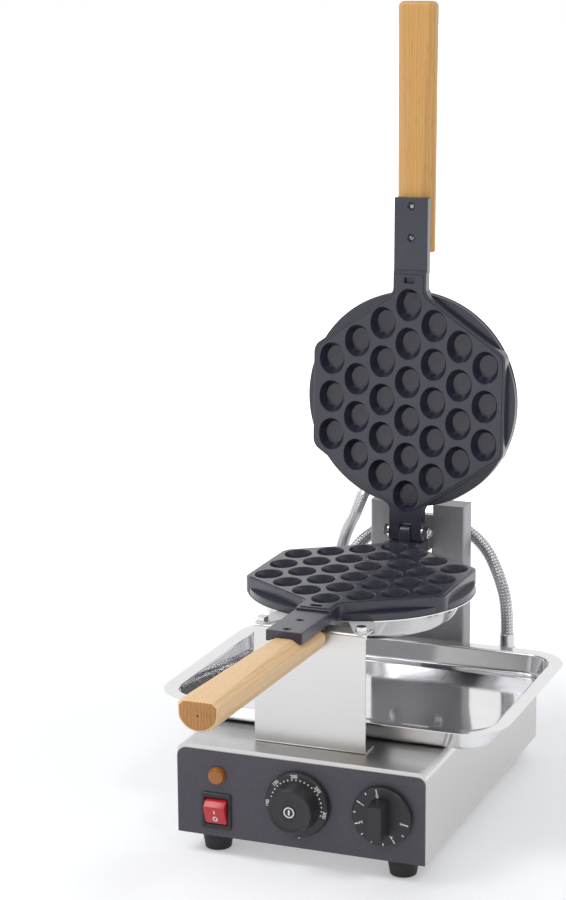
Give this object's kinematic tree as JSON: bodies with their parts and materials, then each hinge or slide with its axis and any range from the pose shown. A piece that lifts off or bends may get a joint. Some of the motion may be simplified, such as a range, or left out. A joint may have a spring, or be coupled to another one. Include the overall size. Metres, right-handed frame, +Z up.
{
  "type": "egg waffle pan",
  "caption": "Electric egg waffle maker: two hinged cast plates with bubble cavities and wooden grips, on a steel control cabinet with a drip tray.",
  "frame": {"origin": "on the table under the middle of the object's length and width", "axes": "+Z up, -Y to the front where the controls and the grips are, +X to the right seen from the front"},
  "size_m": [0.302, 0.5401, 0.6775],
  "materials": {
    "cast_plate": "dark non-stick coating on cast aluminium",
    "wood": "oiled beech",
    "brushed_sheet": "brushed stainless sheet",
    "polished_sheet": "polished stainless sheet",
    "zinc_screws": "bright zinc plated",
    "panel_dark": "dark grey enamelled panel",
    "knob_black": "black thermoset",
    "knob_cap": "bright disc",
    "rocker_red": "red",
    "lamp_amber": "translucent amber",
    "black_plastic": "black",
    "foot_rubber": "black rubber",
    "braid": "braided steel wire",
    "element_steel": "dark heater sheath",
    "clamp_steel": "plain steel",
    "terminal_white": "ceramic white",
    "fitting_brass": "nickel plated brass"
  },
  "bodies": {
    "base": {"bottom_plate": "brushed_sheet", "bracket_screws": "zinc_screws", "cabinet_fitting_nuts": "fitting_brass", "cabinet_hose_fittings": "fitting_brass", "cabinet_shell": "brushed_sheet", "column_screws": "zinc_screws", "control_panel": "panel_dark", "control_screws": "zinc_screws", "cord_gland": "black_plastic", "feet": "foot_rubber", "foot_screws": "zinc_screws", "front_bracket": "brushed_sheet", "hinge_support": "brushed_sheet", "lid_hose": "braid", "lower_clamp_plate": "clamp_steel", "lower_clamp_stud": "clamp_steel", "lower_element": "element_steel", "lower_fitting_nut": "fitting_brass", "lower_handle": "wood", "lower_handle_screws": "zinc_screws", "lower_hose": "braid", "lower_hose_fitting": "fitting_brass", "lower_plate": "cast_plate", "lower_reflector": "polished_sheet", "lower_stud_nuts": "clamp_steel", "neck_screws": "zinc_screws", "pan_bolts": "zinc_screws", "pan_nuts": "zinc_screws", "pan_washers": "zinc_screws", "pilot_lens": "lamp_amber", "pilot_nut": "black_plastic", "rear_column": "brushed_sheet", "rear_panel": "brushed_sheet", "rear_panel_screws": "zinc_screws", "sensor_bulb": "fitting_brass", "support_screws": "zinc_screws", "switch_housing": "black_plastic", "terminal_block": "terminal_white", "thermostat_body": "terminal_white", "timer_body": "terminal_white"},
    "lid": {"upper_plate": "cast_plate", "upper_reflector": "polished_sheet", "upper_element": "element_steel", "upper_clamp_plate": "clamp_steel", "upper_clamp_stud": "clamp_steel", "upper_stud_nuts": "clamp_steel", "upper_handle": "wood", "upper_handle_screws": "zinc_screws", "upper_hose_fitting": "fitting_brass", "upper_fitting_nut": "fitting_brass", "hinge_bolt": "zinc_screws", "hinge_nut": "zinc_screws", "hinge_washers": "zinc_screws"},
    "temperature_dial": {"temperature_knob": "knob_black", "temperature_cap": "knob_cap", "thermostat_spindle": "clamp_steel"},
    "timer_dial": {"timer_knob": "knob_black", "timer_spindle": "clamp_steel"},
    "rocker": {"power_rocker": "rocker_red"},
    "tray": {"drip_tray": "polished_sheet"}
  },
  "joints": [
    {"name": "lid_hinge", "type": "hinge", "parent": "base", "child": "lid", "pos_m": [0, 0.19813, 0.2155], "axis": [1, 0, 0], "range_deg": [0, 92.3], "deforming": ["lid_hose"]},
    {"name": "temperature_turn", "type": "hinge", "parent": "base", "child": "temperature_dial", "pos_m": [0, -0.06797, 0.0568], "axis": [0, -1, 0], "range_deg": [-270, 0]},
    {"name": "timer_turn", "type": "hinge", "parent": "base", "child": "timer_dial", "pos_m": [0.0715, -0.06797, 0.0568], "axis": [0, -1, 0], "range_deg": [-300, 0]},
    {"name": "rocker_tilt", "type": "hinge", "parent": "base", "child": "rocker", "pos_m": [-0.0713, -0.06397, 0.0407], "axis": [1, 0, 0], "range_deg": [-22, 0]},
    {"name": "tray_slide", "type": "slide", "parent": "base", "child": "tray", "axis": [1, 0, 0], "range_m": [-0.1, 0.1]}
  ]
}
